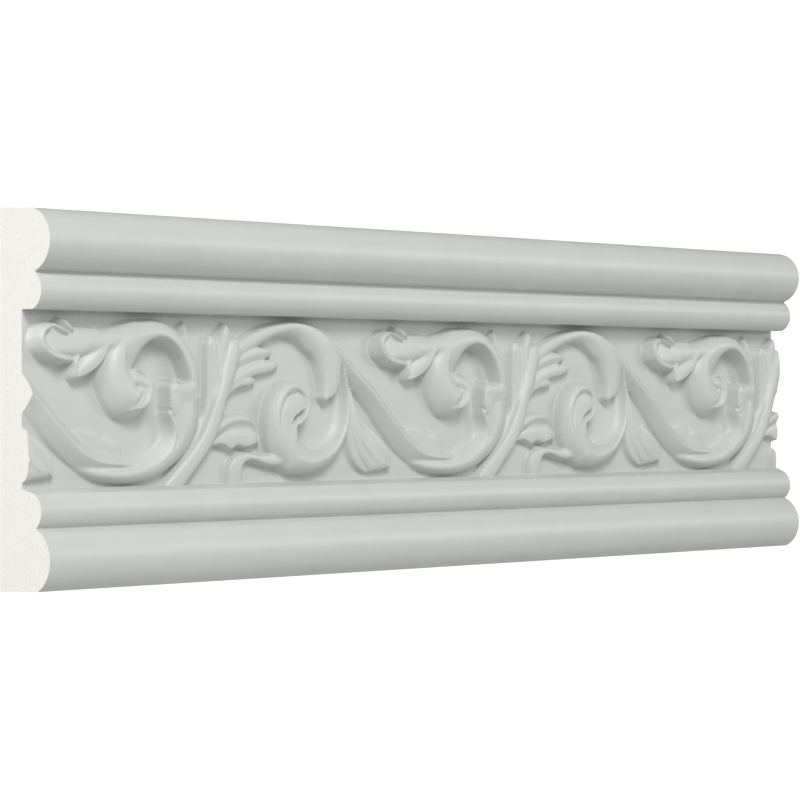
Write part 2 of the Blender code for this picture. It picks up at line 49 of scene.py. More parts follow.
# The whole moulding
LENGTH = 410.8
BACK_TOP = 65.1
BACK_BOTTOM = -64.9
BAND_DEPTH = 12.0
BAND_TOP = 30.4
BAND_BOTTOM = -29.9

# Beads, each an ellipse seen from the end, with its radius out from the wall and its radius up
Bead = namedtuple("Bead", "depth height out up")
TOP_BEAD = Bead(15.3, 53.4, 12.0, 10.9)
TOP_SMALL_BEAD = Bead(15.9, 36.8, 6.7, 6.7)
BOTTOM_SMALL_BEAD = Bead(15.9, -37.3, 6.7, 6.7)
BOTTOM_BEAD = Bead(15.3, -53.6, 12.0, 11.4)
BEAD_STEPS = 40
TOP_CORNER_DEPTH = 17.1
BOTTOM_CORNER_DEPTH = 20.4
TOP_GROOVE_DEPTH = 19.2
BOTTOM_GROOVE_DEPTH = 19.8
TOP_LEDGE_DEPTH = 17.8
BOTTOM_LEDGE_DEPTH = 18.7

# The carving repeats along the band, and one repeat begins at this x
REPEAT = 159.8
FIRST_REPEAT = -215.2
# Its walls rise this much for each millimetre across, and creases this deep between strokes are filled
WALL = 6.0
BLEND = 0.8
# The steps on a stroke's line from one row to the next, and the least width of a side
SPAN_STEPS = 12
NARROWEST = 0.2
# The strokes' walls start this far under the band
BELOW_BAND = 1.6

# The grid that the carving is shaped on, how far it runs past the band, how its creases and its foot are
# rounded, the share of its faces that is kept and the angle from which an edge looks sharp
GRID_STEP = 0.36
GRID_MARGIN = 4.0
SOFTENING = (1, 2, 1)
SOFT_PASSES = 1
FILLET = 0.4
KEPT_FACES = 0.47
SHARP_ANGLE = 50

# The two ends, by the sign of their x
LEFT = -1
RIGHT = 1

# A matt surface: the two shades that its colour wanders between and how small the spots are, how rough it is,
# and how fine, how strong and how deep in metres the grain of its relief is
Finish = namedtuple("Finish", "shade colour spots roughness grain strength distance")
PRIMER = Finish((0.570, 0.582, 0.563, 1), (0.590, 0.602, 0.583, 1), 60, 0.42, 900, 0.12, 0.0002)
CUT_FOAM = Finish((0.85, 0.83, 0.775, 1), (0.90, 0.885, 0.835, 1), 900, 0.85, 1500, 0.3, 0.0003)
SPOT_DETAIL = 3
GRAIN_DETAIL = 4
SHADE_FROM = 0.35
COLOUR_FROM = 0.65

# The room, in metres: its floor, as far down as it is from a chair rail on its wall, and its white background
FLOOR_WIDTH = 5
RAIL_HEIGHT = 0.9
FLOOR_COLOUR = (0.9, 0.9, 0.9, 1)
FLOOR_ROUGHNESS = 0.9
WHITE = (1, 1, 1, 1)
WHITE_SEEN = 1.1
AMBIENT = 0.22

# The lamps, all square soft boxes that face the origin from the same distance in metres. Azimuth 0 is
# straight in front and -90 is beyond the left end.
Lamp = namedtuple("Lamp", "name azimuth elevation power")
LAMPS = [
    Lamp("key", -30, 38, 23.6),
    Lamp("low front", -30, 12, 4),
    Lamp("left end", -90, 20, 16),
    Lamp("right", 45, 15, 7.6),
]
LAMP_SIZE = 0.6
LAMP_DISTANCE = 2

# The camera stands level with the middle of the moulding, beyond its left end. Its place is in metres, and
# its lens and sensor are in millimetres.
CAMERA_PLACE = (-0.7567, -0.7423, 0)
CAMERA_AZIMUTH = -45
LENS = 121.86
SENSOR = 36

# One stroke of the carving. Each row is a point on its line, u and h, the width to the left and to the right
# of the line, and the rise at the line. A side is how full its slope is, hollow under 1, and the share of the
# rise at which its edge stands.
Strand = namedtuple("Strand", "name left right rows")
# The same shape taken out of what is already carved
Hollow = namedtuple("Hollow", "name left right rows")

CARVING = [
    Strand("faint leaf", (4, 0.5), (4, 0.6), [
        (28, -13.5, 2, 3, 0.7), (33, -13.2, 3.1, 5, 0.9), (37, -13.4, 3.3, 6, 1.1),
        (40, -14.4, 3.4, 6, 1.1), (42, -15.4, 2.7, 6, 1.1), (45.4, -15.8, 3.3, 6, 1.4),
        (48.6, -17, 3, 5, 1.4), (50.6, -19.6, 1.8, 3, 1.2), (52.4, -21.8, 1, 2, 0.8)]),
    Strand("ring bottom", (1.6, 0.3), (2.2, 0.3), [
        (32.6, -22.7, 3, 1.6, 1.4), (36, -23.9, 3.8, 2.2, 2.8), (40, -24.9, 4, 2.6, 3.8),
        (45, -25.6, 4, 3, 4.6), (50.6, -25.6, 3.4, 3.6, 4.9), (56, -24.9, 3.2, 4.2, 5.1),
        (62, -23.4, 3.4, 4.8, 5.4), (68, -20.4, 3.8, 5.4, 5.7), (73, -16.4, 4.4, 6.2, 6),
        (76.6, -11.4, 5, 7.4, 6.2), (78.2, -6.6, 6.5, 7.8, 6.3), (78.8, -2, 7, 7.6, 6.3),
        (79, 0.4, 6, 7, 6.3)]),
    Strand("ring inner ridge", (0.35, 0), (1.8, 0.4), [
        (53, -23.7, 3, 2.4, 4), (57, -23.4, 4, 2.8, 4.7), (62, -22.3, 5, 3, 5.1),
        (66.8, -20.2, 5.6, 3, 5.5), (70.4, -16.8, 5.8, 3, 5.9), (72, -12.8, 5.4, 3, 6.1),
        (71.6, -9, 4.2, 3, 6.1), (70, -5.8, 2.6, 3, 5.8), (69.4, -4.2, 1.6, 2, 5.4)]),
    Strand("stem", (1.3, 0.15), (1.2, 0.15), [
        (-25, 26.6, 1.6, 2, 4.6), (-21.6, 26.6, 1.8, 2.4, 4.8), (-17, 25, 2.2, 2.6, 5),
        (-12.7, 22.2, 2.6, 3, 5.2), (-8.7, 18.8, 3.2, 3.4, 5.4), (-4.7, 15, 4, 3.8, 5.6),
        (-0.7, 11, 4.6, 4, 5.8), (3.4, 7.4, 4.8, 4.2, 6), (8.4, 3.4, 5, 4.4, 6), (13.4, -1, 5, 4.6, 6),
        (18.4, -6.3, 4.8, 4.8, 6), (23.4, -11.1, 4.6, 5.2, 5.8), (28.4, -15.3, 4.4, 5.4, 5.5),
        (33.6, -18.6, 4.2, 5.4, 5.2), (39, -20.8, 4, 4.6, 5), (44.6, -21.9, 4, 3.2, 4.7),
        (50, -22.4, 3.4, 2, 4.3), (55, -22.8, 2.4, 1.4, 3.6)]),
    Strand("ring top", (1.4, 0.8), (2.4, 0.35), [
        (79.6, 1, 1.4, 6, 6), (79.5, 7, 1.8, 6.1, 6.8), (78.2, 11.4, 1.9, 6, 7),
        (75.6, 16.2, 1.9, 5.8, 7), (71.2, 20.6, 1.9, 5.3, 7.1), (65.6, 22.7, 2, 5.2, 7.2),
        (60, 22.6, 3.2, 5.3, 7.2), (55, 21.8, 5, 5.4, 7.2)]),
    Strand("ball", (2.2, 0.6), (2, 0.2), [
        (60, 22.4, 3, 5.2, 6.8), (54.6, 21.6, 7, 5.4, 7.2), (50.2, 19.6, 8.6, 5.8, 7.3),
        (47.4, 16, 8.4, 6.2, 7.4), (46.2, 12, 8, 7.2, 7.6), (46.6, 8, 7.6, 7.6, 7.8),
        (48.4, 4, 7.6, 7.6, 8), (51.6, 1.2, 7, 8, 8), (55, 1, 6, 7.6, 7.8), (57, 2.6, 4, 6, 7.2)]),
    Strand("ball face", (2.4, 0.3), (2.4, 0.3), [
        (50.4, 8, 4, 4, 6.8), (53.4, 7.2, 4.2, 4.4, 7), (56, 6.8, 3, 4.4, 7.1), (58, 5.4, 2.2, 3, 7.2)]),
    Hollow("eye", (1.1, 0), (2, 0), [
        (49.5, 16, 3.4, 0.5, 0.3), (49.2, 13.4, 4.4, 0.6, 0.9), (49.9, 10.8, 4.6, 0.7, 1.2),
        (51.4, 8.8, 3, 0.7, 0.9), (52.6, 7.8, 1.6, 0.6, 0.3)]),
    Strand("lip", (1.5, 0.6), (2, 0.5), [
        (54.2, 10.8, 0.9, 1.4, 5.4), (56.4, 10.4, 1.3, 2, 6.4), (58.6, 8.8, 1.5, 2.4, 7.3),
        (59.9, 5.8, 1.6, 2.5, 7.7), (60.1, 2.4, 1.7, 2.6, 7.8), (58.9, -0.6, 1.8, 3.2, 7.8),
        (56.4, -2.5, 1.8, 4, 7.6), (53.4, -3.4, 1.4, 4, 7.2)]),
    Hollow("slit", (1.4, 0), (1.8, 0), [
        (57.2, 5.4, 1.2, 1, 0.3), (57.2, 3.2, 1.4, 1, 0.6), (56, 0.9, 1.4, 1, 0.8),
        (54, -0.7, 1.2, 1, 0.4)]),
    Strand("arm root", (2.6, 0.5), (2.4, 0.3), [
        (56, 22.6, 4.6, 5.2, 6.6), (48, 21, 4.4, 4.7, 6.6), (41, 20, 4.8, 4.4, 6.2),
        (34, 19.6, 4.6, 4.9, 5.6)]),
    Strand("hat face", (2.2, 0.35), (2.4, 0.4), [
        (16.5, 19.6, 5, 4.8, 4.8), (23, 19.2, 6, 5.6, 5.4), (31, 19, 6, 5.4, 5.7),
        (38, 19.6, 5.4, 4.8, 6)]),
    Strand("hat roll", (2, 0.4), (2, 0.15), [
        (30.4, 13.8, 1.2, 0.8, 3.8), (26.4, 13.8, 1.7, 1.5, 5.3), (22.4, 14.2, 1.8, 2.2, 5.9),
        (18.6, 15.3, 1.9, 2.9, 6.1), (15.4, 17.6, 2, 3.5, 6.3), (14, 20.8, 2, 3.6, 6.4),
        (15.2, 23.4, 2, 3, 6), (18.4, 24.6, 1.8, 1.8, 5)]),
    Hollow("hat cup", (2, 0), (2, 0), [
        (17, 20.6, 2.2, 2.6, 0.8), (20, 20.4, 3.4, 3.6, 1.1), (24, 20, 3.6, 3.6, 0.8),
        (30, 19.6, 3.4, 3.4, 0.3)]),
    Strand("hat tip", (1.6, 0.6), (1.6, 0.7), [
        (23.9, 27.2, 0.8, 0.8, 4.2), (24.9, 26.4, 1.2, 1.5, 5.2), (26.4, 24.8, 1.3, 1.6, 6),
        (27.6, 23.4, 1.1, 1.2, 6)]),
    Strand("hat second tip", (1.4, 0.55), (1.2, 0.45), [
        (20.6, 25.2, 1.2, 1.2, 5.4), (22.4, 24.1, 1.4, 1.5, 6), (24.4, 23, 1.3, 1.4, 6.2),
        (25.8, 22.4, 1, 1, 5.9)]),
    Strand("hat lobe", (4, 0.8), (2, 0.3), [
        (42, 18.8, 1.8, 4, 6.3), (39.6, 16, 2.8, 5, 6.3), (36.6, 13, 3, 5, 6), (33.4, 10.8, 3, 4.4, 5.3),
        (30.8, 9.4, 2.6, 2.8, 4.8)]),
    Strand("hat lobe edge", (2, 0.6), (2, 0.75), [
        (30.4, 14.6, 1.6, 1.4, 4.8), (29, 12.4, 1.9, 1.5, 5.4), (28.5, 9.8, 1.9, 1.3, 5.4),
        (29, 7.9, 1.5, 1.1, 4.9), (30, 7.3, 1.1, 0.9, 4.2)]),
    Strand("sheath face", (3, 0.8), (3, 0.8), [
        (74, 1, 4, 4, 6), (74.6, -3, 4, 4.4, 6.1), (75.6, -8, 3.4, 4, 6.1), (75.6, -12.6, 2.4, 3, 6)]),
    Strand("sheath top", (3, 0.95), (2, 0.6), [
        (74.6, 2.4, 2.4, 4, 6.5), (78, 2.4, 2.8, 4.6, 6.7), (81, 1.8, 2.6, 4.4, 6.5)]),
    Strand("sheath block", (1.6, 0.9), (1, 0.95), [
        (71, 3.9, 4, 2.5, 6.5), (71, 1.6, 5, 2.6, 6.5), (71, -0.4, 5, 2.6, 6.5),
        (70.8, -1.8, 4.4, 2.4, 6.4)]),
    Strand("sheath rim", (1.6, 0.4), (2, 0.9), [
        (71.6, 4.2, 1, 2.8, 6.5), (73.6, 4.9, 1.4, 3.6, 6.8), (76.6, 5.3, 1.6, 4, 7),
        (80, 5.1, 1.6, 4, 7), (82.2, 4.4, 1.3, 2.8, 6.6)]),
    Strand("tendril", (1.4, 0.4), (1.5, 0.5), [
        (79.6, 27, 0.7, 0.6, 2.2), (78.1, 25, 1.4, 1.3, 4.2), (78.2, 21.8, 1.6, 1.6, 5.6),
        (80, 17.6, 1.5, 1.5, 6), (82.4, 12.6, 1.3, 1.4, 5.4), (84.2, 7.6, 1, 1, 3.8)]),
    Strand("spray web", (3, 0.5), (3, 0.4), [
        (84, -16, 2, 2, 3), (89, -8, 3.4, 4, 3.2), (92.6, 0, 3, 4.6, 3.2), (95, 9, 4.4, 4.8, 3.2),
        (96.4, 16, 4.6, 5, 3.2), (97, 20, 3.6, 4.2, 3)]),
    Strand("spray stem", (3, 0.5), (3, 0.6), [
        (72.6, -31.4, 4, 4.4, 3.8), (77.6, -25.8, 3.8, 4, 4.7), (83, -19.8, 3.6, 3.8, 5.3),
        (87.4, -14.4, 3.6, 4, 5.6), (90.4, -8.4, 3.4, 4.2, 5.8), (92.6, -2, 2.6, 4.4, 5.8),
        (94.4, 3.4, 1.6, 3.6, 5.7), (96, 7.4, 1, 2.4, 5.5)]),
    Strand("spray left", (1.2, 0.5), (3, 0.7), [
        (88.4, -13, 3.2, 3, 5), (90.2, -7, 3.2, 3, 4.8), (91.3, -1, 3.1, 3, 4.3), (91.8, 5, 3, 2.8, 3.9),
        (91.9, 11, 3, 2.7, 3.7), (91.9, 17, 3, 2.6, 3.6), (91.8, 20, 2.8, 2.4, 3.5),
        (91.6, 21.6, 1.9, 1.5, 3)]),
    Strand("spray mid", (2.4, 0.75), (2, 0.6), [
        (94.8, 6, 1.6, 1.6, 4), (95.8, 12, 2.2, 2, 4.1), (96.8, 18, 2.7, 2.4, 4.1),
        (97.7, 22.6, 2.8, 2.4, 4.1), (98.2, 24.8, 2.2, 2.1, 3.9), (98.4, 26, 1.3, 1.2, 3.3)]),
    Strand("spray right", (1.8, 0.6), (3, 0.6), [
        (91.6, -6, 3, 3.8, 5.6), (93, -1, 3, 4.4, 5.7), (95.2, 5, 2.7, 5, 5.7), (97.8, 12, 2.5, 5.4, 5.3),
        (99.6, 16.8, 2.4, 5.4, 4.9), (101, 19.8, 2.2, 4.2, 4.5), (101.8, 20.8, 2, 2.8, 4.2)]),
    Strand("side web", (4, 0.7), (4, 0.7), [
        (97, 6, 4.5, 5, 3), (102, 10, 5, 5.5, 3.1), (108, 12.6, 5, 5.6, 3), (113.4, 14, 4, 4.6, 2.8)]),
    Strand("side 1", (2.4, 0.8), (1.5, 0.7), [
        (98, 10, 2, 2, 3.5), (103.4, 13.6, 2.2, 2.4, 3.8), (108.4, 15.7, 2.5, 2.6, 3.9),
        (113.4, 16.8, 2.5, 2.6, 3.7), (117.4, 17, 2.2, 2.4, 3.4), (119.4, 16.9, 1.5, 1.8, 2.9)]),
    Strand("side 2", (1.6, 0.7), (2.4, 0.75), [
        (98, 4.4, 2, 2, 3.6), (102.4, 7.6, 2.4, 2.6, 3.7), (107.4, 10, 2.6, 2.8, 3.7),
        (112.4, 11.4, 2.6, 2.9, 3.6), (117.4, 12.2, 2.4, 2.9, 3.4), (121.4, 12.7, 2.2, 2.4, 3),
        (123.4, 12.7, 1.3, 1.4, 2.5)]),
    Strand("side 3", (2, 0.6), (2.4, 0.7), [
        (96.4, 0.4, 2, 2, 3), (101, 4.2, 2, 1.8, 3.4), (105, 6.1, 2.2, 2, 3.6), (109, 6.9, 2.2, 2.4, 3.5),
        (111.8, 6.9, 1.4, 1.7, 2.8)]),
    Strand("low web", (4, 0.7), (4, 0.7), [
        (88, -16, 2, 2, 2.6), (95, -12.6, 3.6, 3.6, 2.8), (102, -11.4, 4, 4.6, 3),
        (108.4, -11.4, 3.6, 4, 2.8)]),
    Strand("low 1", (2.2, 0.6), (1.4, 0.4), [
        (86.6, -15.4, 2, 2.4, 5.2), (91, -12.2, 2.2, 2.8, 4.9), (96, -9.1, 2.5, 3.2, 4.6),
        (100.4, -7.4, 2.4, 3.5, 4.4), (104.6, -6.9, 2.1, 3.6, 4.3), (108.6, -7.5, 1.9, 3.1, 4),
        (111, -8.8, 1.3, 1.9, 3.2)]),
    Strand("low 2", (3.4, 0.8), (3.4, 0.8), [
        (92, -15.8, 1.6, 1, 2.6), (96, -14.6, 2.2, 1.8, 3.2), (100, -13.9, 2.8, 4.4, 3.6),
        (103.4, -13.7, 2.8, 3.1, 3.6), (107, -13.6, 2.8, 4, 3.8), (110.8, -13.6, 2.6, 3.3, 3.8),
        (113, -13.7, 2, 2.6, 3)]),
    Strand("small arm", (2.2, 0.3), (0.35, 0), [
        (155.2, 13, 0.9, 0.9, 4), (156, 9, 1.5, 2.4, 4.6), (156.8, 4, 2, 4, 5), (157.2, 0, 2.6, 5.4, 5.1),
        (156.6, -6, 3.2, 7.4, 5.3), (154.4, -12, 3.8, 8.6, 5.5), (150, -17.4, 4.6, 8.4, 5.9),
        (144, -20.8, 5.2, 7, 6.3), (137, -22.2, 5.6, 5, 6.7), (130, -21, 6.4, 5, 7)]),
    Strand("small ring", (2, 0.2), (2.4, 0.4), [
        (146, -19.8, 4, 1.2, 5), (139, -22, 5.2, 4.4, 6.1), (130, -20.6, 6.6, 7.6, 7.1),
        (122.6, -14.6, 5.6, 8, 7.4), (119.4, -7, 3, 6.6, 7.4), (121, 0, 2.7, 5, 7.3),
        (125.2, 4.2, 2.7, 3.4, 7), (130.2, 4.8, 2.5, 2.6, 6.8), (134.2, 2.5, 2.9, 2.6, 6.8),
        (135.6, -1.8, 2.9, 2.4, 6.8), (134, -6, 2.6, 2, 6.7), (130.8, -8.5, 2.1, 1.6, 6.5),
        (128.2, -9.4, 1.2, 1, 5.6)]),
    Strand("curl", (5, 0.92), (5, 0.92), [
        (127, -13, 4, 4, 6.8), (126.4, -8.4, 4.4, 4.4, 6.8), (127.6, -4, 6, 6, 6.7),
        (129, -1.6, 5.8, 5.8, 6.6)]),
    Hollow("curl groove", (1.1, 0), (2, 0), [
        (133.2, 1.2, 2, 0.7, 0.4), (131.2, 2.4, 2.8, 0.7, 1.1), (128, 2.2, 3, 0.7, 1.4),
        (124.8, 0.4, 2.2, 0.6, 1.1), (122.4, -3, 1.5, 0.6, 0.9), (121.3, -6.4, 1, 0.6, 0.8),
        (121.4, -10.4, 0.8, 0.6, 0.4)]),
    Hollow("curl slit", (1.5, 0), (1.5, 0), [
        (133.2, -4.2, 0.9, 0.9, 0.8), (131.4, -5.6, 1.2, 1.2, 2.6), (129.4, -7, 1.3, 1.3, 3.2),
        (127.8, -9, 1, 1, 1.4)]),
    Strand("hook", (3, 0.5), (3, 0.5), [
        (127, -21.6, 2.4, 2.4, 4.2), (121, -22, 2.6, 2.6, 4.2), (116.4, -21.6, 2.2, 2.1, 4),
        (112, -20.8, 1.6, 1.7, 3.9), (108.6, -20.6, 1.6, 2.1, 3.8), (105.6, -21.9, 2, 3.4, 3.7),
        (104.2, -25, 2.4, 4.8, 3.5), (104, -31, 2.6, 5, 3.1)]),
    Strand("arc", (4, 0.7), (1.8, 0.4), [
        (99, 13.8, 2.4, 2.4, 3.8), (103, 16.6, 3.2, 2.9, 4), (107, 19, 3.7, 3.3, 4.1),
        (111.4, 21.2, 3.6, 3.3, 4.3), (116, 23.2, 3.2, 2.9, 4.6), (121, 24.8, 2.9, 2.6, 4.9),
        (126, 25.9, 2.7, 3, 5.1), (131, 26.2, 2.7, 3.8, 5.3), (136, 24.8, 3.6, 4.8, 5.3),
        (140.4, 21.8, 5.2, 5, 5.3), (143.8, 18, 7.2, 4.2, 5.3), (145.8, 13.6, 8.4, 3.6, 5.2),
        (146.6, 9.6, 8.2, 3.2, 5.1), (147, 6.4, 7.4, 2.8, 5), (147, 4, 5.8, 2.6, 4.9),
        (146.6, 2.4, 4, 2.2, 4.8), (146, 1.2, 2.2, 1.8, 4.6)]),
    Strand("husk", (4, 0.7), (2.4, 0.5), [
        (0.4, 3, 1.4, 1.2, 2.2), (1, -4, 3, 3, 3), (3, -11, 4, 5.2, 3.4), (6.6, -17, 5, 7.4, 3.6),
        (11, -21.4, 5.6, 7, 3.6), (14.6, -23.6, 4, 3.8, 3.5), (17, -24.4, 2.4, 2.4, 3.3)]),
    Strand("husk side", (3, 0.7), (3, 0.7), [
        (9, -11.4, 2, 3, 3), (13.6, -15.2, 2.4, 3.4, 3.5), (17.4, -18.6, 2.5, 3.6, 3.6),
        (19.4, -21.6, 2, 3.4, 3.5), (20.4, -23.8, 1.6, 2.6, 3.3)]),
    Strand("husk vein", (1.3, 0), (1.3, 0), [
        (1.4, -8, 0.8, 0.8, 3.2), (4.6, -14, 1.8, 1.8, 4.2), (8.8, -19, 2.6, 2.6, 4.5),
        (13.6, -22.8, 2.4, 2.4, 4.2), (16.4, -24.2, 1.4, 1.4, 3.8)]),
    Hollow("husk fold", (1.2, 0), (1.2, 0), [
        (1, -14, 0.6, 0.6, 0.2), (3.4, -19.4, 1, 1, 0.6), (7, -24.2, 1.1, 1.1, 0.8),
        (9.4, -26.4, 1, 1, 0.7)]),
]


def smooth_line(rows):
    """A Catmull-Rom curve through the rows."""
    rows = np.array(rows, float)
    first = 2 * rows[0] - rows[1]
    last = 2 * rows[-1] - rows[-2]
    ends = np.vstack([first, rows, last])
    t = np.linspace(0, 1, SPAN_STEPS, endpoint=False)[:, None]
    spans = []
    for a, b, c, d in zip(ends, ends[1:], ends[2:], ends[3:]):
        cubic = 2 * a - 5 * b + 4 * c - d + t * (3 * (b - c) + d - a)
        spans.append(b + 0.5 * t * (c - a + t * cubic))
    line = np.vstack(spans + [rows[-1:]])
    line[:, 2:4] = np.maximum(line[:, 2:4], NARROWEST)
    return line


def nearest_on(line, u, h):
    """For each point: its distance from the line, whether it lies to the left, and the line's sizes there."""
    found = np.full(u.shape, np.inf)
    is_left = np.zeros(u.shape, bool)
    sizes = np.zeros(u.shape + (3,))
    for start, end in zip(line[:-1], line[1:]):
        along = end[:2] - start[:2]
        du = u - start[0]
        dh = h - start[1]
        t = np.clip((du * along[0] + dh * along[1]) / (along @ along), 0, 1)
        apart = np.hypot(du - t * along[0], dh - t * along[1])
        closer = apart < found
        found[closer] = apart[closer]
        is_left[closer] = (along[0] * dh - along[1] * du > 0)[closer]
        sizes[closer] = (start[2:5] + t[..., None] * (end[2:5] - start[2:5]))[closer]
    return found, is_left, sizes


def section_of(piece, u, h):
    """The rise of a piece at each point, and how far inside its edge the point lies."""
    apart, is_left, sizes = nearest_on(smooth_line(piece.rows), u, h)
    width = np.where(is_left, sizes[..., 0], sizes[..., 1])
    fullness = np.where(is_left, piece.left[0], piece.right[0])
    edge = np.where(is_left, piece.left[1], piece.right[1])
    across = np.clip(apart / width, 0, 1)
    hollowed = (1 - across) ** (1 / fullness)
    share = np.where(fullness < 1, hollowed, 1 - across ** fullness)
    return sizes[..., 2] * (edge + (1 - edge) * share), width - apart


def smooth_max(a, b):
    """The higher of the two, with the crease between them filled."""
    t = np.clip(0.5 + 0.5 * (b - a) / BLEND, 0, 1)
    return a + (b - a) * t + BLEND * t * (1 - t)


def carve(u, h, pieces):
    """The rise of the carving at each point. Where the band is bare it is a little below the band."""
    rise = np.full(u.shape, -BELOW_BAND)
    for piece in pieces:
        rows = np.array(piece.rows)
        reach = rows[:, 2:4].max() + BELOW_BAND
        low = rows[:, :2].min(axis=0) - reach
        high = rows[:, :2].max(axis=0) + reach
        first = math.floor((u.min() - high[0]) / REPEAT)
        last = math.ceil((u.max() - low[0]) / REPEAT)
        for n in range(first, last + 1):
            v = u - n * REPEAT
            near = (v > low[0]) & (v < high[0]) & (h > low[1]) & (h < high[1])
            if not near.any():
                continue
            top, inside = section_of(piece, v[near], h[near])
            if isinstance(piece, Hollow):
                rise[near] -= np.where(inside > 0, top, 0) * np.clip(rise[near], 0, 1)
            else:
                walled = np.maximum(np.minimum(top, WALL * inside), -BELOW_BAND - BLEND)
                rise[near] = smooth_max(rise[near], walled)
    return rise


def soften(rise):
    """Rounds the creases of the carving, as paint and casting do."""
    weights = np.array(SOFTENING) / sum(SOFTENING)
    for _ in range(SOFT_PASSES):
        for axis in (0, 1):
            before = np.roll(rise, 1, axis)
            after = np.roll(rise, -1, axis)
            rise = weights[0] * before + weights[1] * rise + weights[2] * after
    return rise


def stations(low, high):
    """Evenly spaced positions from low to high, and the same carried on past both by the margin."""
    count = round((high - low) / GRID_STEP)
    step = (high - low) / count
    extra = round(GRID_MARGIN / step)
    return low + step * np.arange(-extra, count + extra + 1), extra


def carved_band():
    """The band's points: x, depth and height, each with a row for each height from the top down."""
    x, x_extra = stations(-LENGTH / 2, LENGTH / 2)
    height, height_extra = stations(BAND_BOTTOM, BAND_TOP)
    x, height = np.meshgrid(x, height[::-1])
    rise = carve(x - FIRST_REPEAT, height, CARVING)
    t = np.clip(0.5 + 0.5 * rise / FILLET, 0, 1)
    rise = soften(rise * t + FILLET * t * (1 - t))
    kept = (slice(height_extra, -height_extra), slice(x_extra, -x_extra))
    return x[kept], BAND_DEPTH + rise[kept], height[kept]


def bead_arc(bead, start_depth, end_depth):
    """Points down the front of a bead, from one depth on its upper side to another on its lower side."""
    start = math.acos((start_depth - bead.depth) / bead.out)
    end = -math.acos((end_depth - bead.depth) / bead.out)
    angles = np.linspace(start, end, BEAD_STEPS)
    return [(bead.depth + bead.out * math.cos(a), bead.height + bead.up * math.sin(a)) for a in angles]


def edges_of_profile():
    """The (depth, height) points above the band, from the back, and those below it, to the back."""
    above = [(0, BACK_TOP)]
    above += bead_arc(TOP_BEAD, TOP_CORNER_DEPTH, TOP_GROOVE_DEPTH)
    above += bead_arc(TOP_SMALL_BEAD, TOP_GROOVE_DEPTH, TOP_LEDGE_DEPTH)
    below = bead_arc(BOTTOM_SMALL_BEAD, BOTTOM_LEDGE_DEPTH, BOTTOM_GROOVE_DEPTH)
    below += bead_arc(BOTTOM_BEAD, BOTTOM_GROOVE_DEPTH, BOTTOM_CORNER_DEPTH)
    below.append((0, BACK_BOTTOM))
    return above, below


def moulding_mesh():
    """One closed mesh: the carved band, long strips above and below it, and two flat ends, which come last.
    With it come the numbers of the points inside the carved band."""
    x, depth, height = carved_band()
    rows, columns = x.shape
    points = list(zip(x.ravel() * MM, -depth.ravel() * MM, height.ravel() * MM))
    number = np.arange(rows * columns).reshape(rows, columns)
    corners = [number[:-1, :-1], number[1:, :-1], number[1:, 1:], number[:-1, 1:]]
    faces = np.stack(corners, axis=-1).reshape(-1, 4).tolist()

    above, below = edges_of_profile()
    ends = {}
    for side in (LEFT, RIGHT):
        for part, profile in (("above", above), ("below", below)):
            ends[side, part] = list(range(len(points), len(points) + len(profile)))
            points += [(side * LENGTH / 2 * MM, -d * MM, h * MM) for d, h in profile]
    for part in ("above", "below"):
        left = ends[LEFT, part]
        right = ends[RIGHT, part]
        faces += [list(four) for four in zip(left, left[1:], right[1:], right)]
    upper_ledge = [ends[LEFT, "above"][-1]] + number[0].tolist() + [ends[RIGHT, "above"][-1]]
    lower_ledge = [ends[RIGHT, "below"][0]] + number[-1, ::-1].tolist() + [ends[LEFT, "below"][0]]
    back = [ends[LEFT, "below"][-1], ends[LEFT, "above"][0]]
    back += [ends[RIGHT, "above"][0], ends[RIGHT, "below"][-1]]
    left_end = ends[LEFT, "above"][::-1] + ends[LEFT, "below"][::-1] + number[::-1, 0].tolist()
    right_end = ends[RIGHT, "above"] + number[:, -1].tolist() + ends[RIGHT, "below"]
    faces += [upper_ledge, lower_ledge, back, left_end, right_end]

    mesh = bpy.data.meshes.new("moulding")
    mesh.from_pydata(points, [], faces)
    return mesh, number[1:-1, 1:-1].ravel().tolist()


def build_moulding(paint, foam):
    """The moulding, painted but for its two cut ends, with fewer faces where the carving is smooth."""
    mesh, inside = moulding_mesh()
    mesh.materials.append(paint)
    mesh.materials.append(foam)
    for end in mesh.polygons[-2:]:
        end.material_index = 1
    moulding = bpy.data.objects.new("moulding", mesh)
    bpy.context.scene.collection.objects.link(moulding)

    moulding.vertex_groups.new(name="carved band").add(inside, 1.0, "REPLACE")
    thin = moulding.modifiers.new("fewer faces", "DECIMATE")
    thin.ratio = KEPT_FACES
    thin.vertex_group = "carved band"
    graph = bpy.context.evaluated_depsgraph_get()
    thinned = bpy.data.meshes.new_from_object(moulding.evaluated_get(graph))
    moulding.modifiers.remove(thin)
    moulding.vertex_groups.clear()
    moulding.data = thinned
    thinned.validate()
    thinned.shade_smooth()
    thinned.set_sharp_from_angle(angle=math.radians(SHARP_ANGLE))
    even = moulding.modifiers.new("even shading", "WEIGHTED_NORMAL")
    even.keep_sharp = True
    return moulding


def shader_of(material):
    material.use_nodes = True
    return material.node_tree.nodes["Principled BSDF"]


def noise(tree, coordinates, scale, detail):
    node = tree.nodes.new("ShaderNodeTexNoise")
    node.inputs["Scale"].default_value = scale
    node.inputs["Detail"].default_value = detail
    tree.links.new(coordinates, node.inputs["Vector"])
    return node.outputs["Fac"]


def ramp(tree, factor, shade, colour):
    node = tree.nodes.new("ShaderNodeValToRGB")
    node.color_ramp.elements[0].position = SHADE_FROM
    node.color_ramp.elements[0].color = shade
    node.color_ramp.elements[1].position = COLOUR_FROM
    node.color_ramp.elements[1].color = colour
    tree.links.new(factor, node.inputs["Fac"])
    return node.outputs["Color"]


